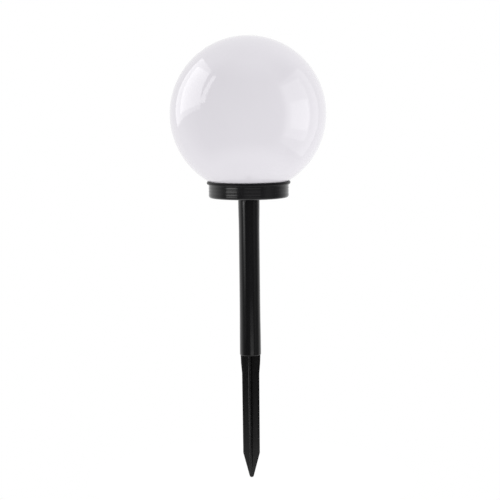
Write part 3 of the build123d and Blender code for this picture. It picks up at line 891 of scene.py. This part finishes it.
def makeCup():
    shape = cupShape
    floorTop = cupBase + shape["floor"]
    tunnelTop = floorTop + shape["tunnelRise"]
    over, lead = shape["overshoot"], globeShape["threadLead"]
    mesh = bmesh.new()
    outline(mesh, cupProfile(floorTop), closed=False)
    turnRound(mesh, shape["steps"])
    added, cut = bmesh.new(), bmesh.new()
    for angle in shape["screwAngles"]:
        place = [
            shape["screwCircle"] * turn(math.radians(angle)) for turn in (math.cos, math.sin)
        ]
        upright(added, shape["tunnelRadius"], place, floorTop - shape["overlap"], tunnelTop)
        upright(cut, shape["wellRadius"], place, cupBase - over, cupBase + shape["wellDepth"])
        upright(cut, shape["shaftRadius"], place, cupBase + shape["overlap"], tunnelTop + over)
    for third in globeShape["thirds"]:
        lug = bmesh.new()
        sweepRound(
            lug,
            ribSection(shape["bore"], -globeShape["lugReach"]),
            lugLevel - lead * third / 360,
            third - globeShape["lugSweep"] / 2,
            globeShape["lugSweep"],
            lead,
            globeShape["lugSteps"],
        )
        addTo(added, lug)
    place = (0, shape["switchY"])
    pocketTop = cupBase + shape["pocketDepth"]
    roundedBlock(cut, shape["pocketSize"], shape["pocketCorner"], place, cupBase - over, pocketTop)
    roundedBlock(cut, shape["slotSize"], shape["slotCorner"], place, cupBase, floorTop + over)
    mesh = carved(mesh, added, "UNION")
    mesh = carved(mesh, cut, "DIFFERENCE")
    piece = finishPiece("blackCup", mesh, "cup_black", "head", ["base_cup"])
    piece.data.materials.append(lipFinish)
    lipStart = (cupTop - shape["rimHeight"] - shape["lipStart"]) * mm
    outside = (shape["radius"] - shape["lipInset"]) * mm
    for face in piece.data.polygons:
        if face.center.z > lipStart and face.center.xy.length > outside:
            face.material_index = 1


poleShape = {
    "bore": 8.8,
    "radius": 10.0,
    "foot": 10.3,
    "footLength": 12.0,
    "footBlend": 32.0,
    "bell": 10.35,
    "bellLength": 12.0,
    "bellBlend": 14.0,
    "steps": 120,
    "footRounds": ((0.25, 2), (0.9, 6)),   # inside and outside, each with its segments
    "sideRounds": ((6.0, 6), (9.0, 6), (5.0, 6), (5.0, 6)),
    "mouthRounds": ((0.15, 2), (0.15, 2)),
}


def makePole():
    shape = poleShape
    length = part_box("pole_tube")[1].z / mm
    bellStart = length - shape["bellLength"]
    bore, foot, side, bell = (shape[key] for key in ("bore", "foot", "radius", "bell"))
    corners = [
        (bore, 0),
        (foot, 0),
        (foot, shape["footLength"]),
        (side, shape["footLength"] + shape["footBlend"]),
        (side, bellStart - shape["bellBlend"]),
        (bell, bellStart),
        (bell, length),
        (bore, length),
    ]
    rounds = shape["footRounds"] + shape["sideRounds"] + shape["mouthRounds"]
    mesh = bmesh.new()
    outline(mesh, [corner + rounding for corner, rounding in zip(corners, rounds)])
    turnRound(mesh, shape["steps"])
    finishPiece("tubePole", mesh, "pole_black", "pole", ["pole_tube"])


frameShape = {
    "postSize": (0.5, 0.5),
    "postRound": 0.08,
    "postReach": 0.8,         # posts stand this far from the axis
    "postStart": 0.15,
    "bowlRise": 1.7,          # bowl's floor above the flange
    "bowlRadius": 0.85,
    "bowlFloor": 0.45,
    "bowlDepth": 0.5,
    "bowlBase": 0.25,         # thickness of its floor, and how far it reaches out below
    "bowlFoot": 0.2,
    "bowlFootRound": 0.1,
    "bowlWall": 0.15,
    "fillGap": 0.02,
    "fillInset": 0.06,
    "fillEdge": 0.8,          # shares of the bowl's depth
    "fillCrown": 0.95,
    "steps": 40,
}


def makeLampFrame():
    # the lead frame in the clear lens: two posts, one with the bowl that holds the die
    shape = frameShape
    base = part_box("led_lamp")[0].z / mm
    rise, depth = base + shape["bowlRise"], shape["bowlDepth"]
    floor, rim = shape["bowlFloor"], shape["bowlRadius"]
    postStart = base + shape["postStart"]
    mesh = bmesh.new()
    for side in (-1, 1):
        place = (side * shape["postReach"], 0)
        roundedBlock(mesh, shape["postSize"], shape["postRound"], place, postStart, rise)
    bowl = bmesh.new()
    bowlCorners = [
        (0, rise - shape["bowlBase"]),
        (floor + shape["bowlFoot"], rise - shape["bowlBase"], shape["bowlFootRound"]),
        (rim + shape["bowlWall"], rise + depth),
        (rim, rise + depth),
        (floor, rise),
        (0, rise),
    ]
    outline(bowl, bowlCorners, closed=False)
    turnRound(bowl, shape["steps"])
    addTo(mesh, bowl)
    frameFaces = len(mesh.faces)
    fill = bmesh.new()
    fillCorners = [
        (0, rise + shape["fillGap"]),
        (floor, rise + shape["fillGap"]),
        (rim - shape["fillInset"], rise + depth * shape["fillEdge"]),
        (0, rise + depth * shape["fillCrown"]),
    ]
    outline(fill, fillCorners, closed=False)
    turnRound(fill, shape["steps"])
    addTo(mesh, fill)
    piece = finishPiece("lampFrame", mesh, "tinned_wire", "head")
    piece.data.materials.append(phosphor)
    for face in piece.data.polygons:
        if face.index >= frameFaces:
            face.material_index = 1


solderShape = {
    "width": 1.5,
    "crown": 0.7,
    "height": 0.45,
    "round": 0.12,
    "roundSegments": 3,
    "sides": 24,
    "sharpFrom": 50,
    "places": [               # where wires and pins meet the board
        (-1.27, 7.5), (1.27, 7.5), (-5.2, 9.48), (5.2, 9.48), (-9.62, 7.9), (9.62, 7.9),
        (-2.5, 19.0), (0.0, 19.0), (2.5, 19.0),
    ],
}


def makeSolder():
    # fillets of solder that rise a little way up each wire
    shape = solderShape
    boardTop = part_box("circuit_board")[1].z / mm
    mesh = bmesh.new()
    for x, y in shape["places"]:
        made = bmesh.ops.create_cone(
            mesh,
            cap_ends=True,
            segments=shape["sides"],
            radius1=shape["width"] / 2 * mm,
            radius2=shape["crown"] / 2 * mm,
            depth=shape["height"] * mm,
            matrix=Matrix.Translation((x * mm, y * mm, (boardTop + shape["height"] / 2) * mm)),
        )
        top = max(vert.co.z for vert in made["verts"])
        crown = {
            edge
            for vert in made["verts"]
            for edge in vert.link_edges
            if all(end.co.z > top - touching for end in edge.verts)
        }
        bevelled(mesh, list(crown), "EDGES", shape["round"], shape["roundSegments"])
    finishPiece("solderPads", mesh, "tinned_wire", "head", sharpAngle=shape["sharpFrom"])


markShape = {
    "size": 2.6,
    "relief": 0.15,
    "sink": 0.1,
    "curveSteps": 4,
    "mergeWithin": 0.001,
    "words": {"OFF": -10.4, "ON": 9.9},   # across, beside the switch's pocket
}


def makeMarks():
    # raised lettering on the cup's underside, read from below
    shape = markShape
    for word, across in shape["words"].items():
        text = bpy.data.curves.new("marking", "FONT")
        text.body = word
        text.size = shape["size"] * mm
        text.align_x, text.align_y = "CENTER", "CENTER"
        text.extrude = (shape["relief"] + shape["sink"]) / 2 * mm
        text.resolution_u = shape["curveSteps"]
        holder = inScene("marking", text)
        shaped = holder.evaluated_get(bpy.context.evaluated_depsgraph_get())
        mesh = bmesh.new()
        mesh.from_mesh(shaped.to_mesh())
        bpy.data.objects.remove(holder)
        bmesh.ops.remove_doubles(mesh, verts=mesh.verts, dist=shape["mergeWithin"] * mm)
        bmesh.ops.recalc_face_normals(mesh, faces=mesh.faces)
        level = cupBase + (shape["sink"] - shape["relief"]) / 2
        place = Matrix.Translation((across * mm, cupShape["switchY"] * mm, level * mm))
        bmesh.ops.transform(
            mesh, matrix=place @ Matrix.Rotation(math.pi, 4, "X"), verts=mesh.verts
        )
        finishPiece("mark" + word.capitalize(), mesh, "cup_black", "head")


makeGlobe()
print("globe made")
makeCup()
makeMarks()
makePole()
print("cup and pole made")
makeLampFrame()
makeSolder()
print("lamp frame and solder made")


studioLook = {
    "bearings": [             # what gloss sees round the light: degrees from the front, grey
        (-180, 1.0), (-115, 1.0), (-93, 0.6), (-78, 0.2), (-60, 0.14), (-50, 0.08),
        (0, 0.12), (42, 0.10), (55, 0.26), (66, 0.22), (76, 0.15), (92, 0.17), (113, 0.6),
        (138, 1.0), (180, 1.0),
    ],
    "below": (-60.0, -40.0, 1.15),         # from, to in degrees of rise, grey
    "above": (50.0, 80.0, 0.9),
    "frontLight": 0.92,       # the camera's side, as it lights the object
    "surround": 1.0,
    "frontFade": (-0.75, -0.25),           # where the one turns into the other, from -Y to +Y
    "towardsRight": 0.06,     # how much brighter the even light is there, and from below
    "fromBelow": 0.15,
    "belowFade": (-0.7, 0.0),
}


def grey(level):
    return (level,) * 3 + (1.0,)


def makeSurround():
    # gloss sees a dark room on the camera's side and white round it; the rest is even light
    look = studioLook
    world = bpy.data.worlds.new("studioSurround")
    bpy.context.scene.world = world
    world.use_nodes = True
    tree = world.node_tree
    tree.nodes.clear()
    axes = tree.nodes.new("ShaderNodeSeparateXYZ")
    tree.links.new(
        tree.nodes.new("ShaderNodeTexCoord").outputs["Generated"], axes.inputs["Vector"]
    )
    across, away, up = (axes.outputs[name] for name in ("X", "Y", "Z"))
    bearing = maths(tree, "ARCTAN2", across, maths(tree, "MULTIPLY", away, -1.0))
    rise = maths(tree, "ARCSINE", up)
    path = tree.nodes.new("ShaderNodeLightPath")
    ramp = tree.nodes.new("ShaderNodeValToRGB")
    stops = ramp.color_ramp.elements
    while len(stops) < len(look["bearings"]):
        stops.new(1.0)
    for stop, (angle, level) in zip(stops, look["bearings"]):
        stop.position = (angle + 180) / 360
        stop.color = grey(level)
    tree.links.new(spread(tree, bearing, -math.pi, math.pi, 0.0, 1.0), ramp.inputs["Fac"])
    gloss = ramp.outputs["Color"]
    for key, ends in (("below", (1, 0)), ("above", (0, 1))):
        low, high, level = look[key]
        reach = spread(tree, rise, math.radians(low), math.radians(high), *ends)
        gloss = blendColours(tree, reach, gloss, grey(level))
    even = spread(tree, away, *look["frontFade"], look["frontLight"], look["surround"])
    even = maths(tree, "ADD", even, maths(tree, "MULTIPLY", across, look["towardsRight"]))
    even = maths(tree, "ADD", even, spread(tree, up, *look["belowFade"], look["fromBelow"], 0.0))
    lit = blendColours(tree, path.outputs["Is Glossy Ray"], even, gloss)
    clear = maths(
        tree, "MAXIMUM", path.outputs["Is Camera Ray"], path.outputs["Is Transmission Ray"]
    )
    background = tree.nodes.new("ShaderNodeBackground")
    output = tree.nodes.new("ShaderNodeOutputWorld")
    tree.links.new(blendColours(tree, clear, lit, grey(1.0)), background.inputs["Color"])
    tree.links.new(background.outputs["Background"], output.inputs["Surface"])


floorLook = {
    "gap": 0.3,               # under the stake's point
    "reach": 160.0,
    "sides": 96,
    "colour": grey(0.93),
    "roughness": 0.9,
    "white": 1.03,            # how bright it is where it is seen
    "whiteShare": 0.93,       # the rest shows the object's shadow
}


def makeFloor():
    look = floorLook
    mesh = bmesh.new()
    bmesh.ops.create_circle(
        mesh, cap_ends=True, segments=look["sides"], radius=look["reach"] * mm
    )
    level = solidBox[0].z - look["gap"] * mm
    bmesh.ops.translate(mesh, verts=mesh.verts, vec=(0, 0, level))
    floor = inScene("floor", meshData("floor", mesh))
    material, tree, shader = newFinish(
        "floorPaper", colour=look["colour"], roughness=look["roughness"]
    )
    path = tree.nodes.new("ShaderNodeLightPath")
    seen = maths(tree, "MAXIMUM", path.outputs["Is Camera Ray"], path.outputs["Is Glossy Ray"])
    seen = maths(tree, "MAXIMUM", seen, path.outputs["Is Transmission Ray"])
    white = tree.nodes.new("ShaderNodeEmission")
    white.inputs["Strength"].default_value = look["white"]
    paper = tree.nodes.new("ShaderNodeMixShader")
    tree.links.new(maths(tree, "MULTIPLY", seen, look["whiteShare"]), paper.inputs["Fac"])
    tree.links.new(shader.outputs["BSDF"], paper.inputs[1])
    tree.links.new(white.outputs["Emission"], paper.inputs[2])
    under = tree.nodes.new("ShaderNodeNewGeometry").outputs["Backfacing"]
    clear = tree.nodes.new("ShaderNodeBsdfTransparent")
    oneSided = tree.nodes.new("ShaderNodeMixShader")   # clear from below
    tree.links.new(under, oneSided.inputs["Fac"])
    tree.links.new(paper.outputs["Shader"], oneSided.inputs[1])
    tree.links.new(clear.outputs["BSDF"], oneSided.inputs[2])
    output = tree.nodes["Material Output"]
    tree.links.new(oneSided.outputs["Shader"], output.inputs["Surface"])
    floor.data.materials.append(material)


makeSurround()
makeFloor()


# cards of light that only gloss sees, each for one piece. All have bearings in degrees from
# the front and a brightness; the ball's have rises and a lean in degrees, the others have
# heights in millimetres and the piece's name
ballCards = {
    "leftPanel": (-134, -77, -2, 49, 1.3, 17),
    "leftPanelCore": (-120, -78, 5, 45, 1.3, 17),
    "leftBar": (-73, -65, 14, 48, 2.4, 0),
    "rightGlow": (53, 122, -40, 42, 0.7, 0),
    "rightGlowMiddle": (57, 100, -28, 36, 0.8, 0),
    "rightGlowCore": (63, 97, -17, 14, 1.0, 0),
}
blackCards = {
    "cupCard": (-66, -34, -100, 260, 2.1, "blackCup"),
    "cupFrontCard": (-12, 34, -100, 260, 0.25, "blackCup"),
    "tubeCard": (-70, -45, -50, 260, 0.6, "tubePole"),
    "tubeCardTop": (-68, -48, 15, 260, 0.8, "tubePole"),
    "tubeCardEnd": (-68, -52, 62, 260, 1.2, "tubePole"),
    "tubeFootCard": (2, 36, -420, -112, 0.8, "tubePole"),
    "stakeCard": (-128, -52, -520, 20, 5.0, "ground_stake"),
    "stakeFrontCard": (-34, 6, -440, -270, 0.8, "ground_stake"),
}
cardReach = 0.9               # metres from the axis


def makeCard(name, bearings, heights, brightness, pieceName, lean=0):
    # upright sheet of light that faces the axis; heights in metres
    bearing = math.radians(sum(bearings) / 2)
    width = 2 * cardReach * math.tan(math.radians(bearings[1] - bearings[0]) / 2)
    lamp = bpy.data.lights.new(name, "AREA")
    lamp.shape = "RECTANGLE"
    lamp.size, lamp.size_y = width, heights[1] - heights[0]
    lamp.energy = brightness * math.pi * lamp.size * lamp.size_y
    card = inScene(name, lamp)
    away = Vector((math.sin(bearing), -math.cos(bearing), 0))
    card.matrix_world = (
        Matrix.Translation(away * cardReach + Vector((0, 0, sum(heights) / 2)))
        @ away.to_track_quat("Z", "Y").to_matrix().to_4x4()
        @ Matrix.Rotation(math.radians(lean), 4, "Z")
    )
    card.visible_diffuse = False
    lit = bpy.data.collections.new(name)
    lit.objects.link(bpy.data.objects[pieceName])
    card.light_linking.receiver_collection = lit


for name, (left, right, low, high, brightness, lean) in ballCards.items():
    heights = [
        globeCentre * mm + cardReach * math.tan(math.radians(angle)) for angle in (low, high)
    ]
    makeCard(name, (left, right), heights, brightness, "opalGlobe", lean)
for name, (left, right, low, high, brightness, pieceName) in blackCards.items():
    makeCard(name, (left, right), (low * mm, high * mm), brightness, pieceName)
print("studio made")
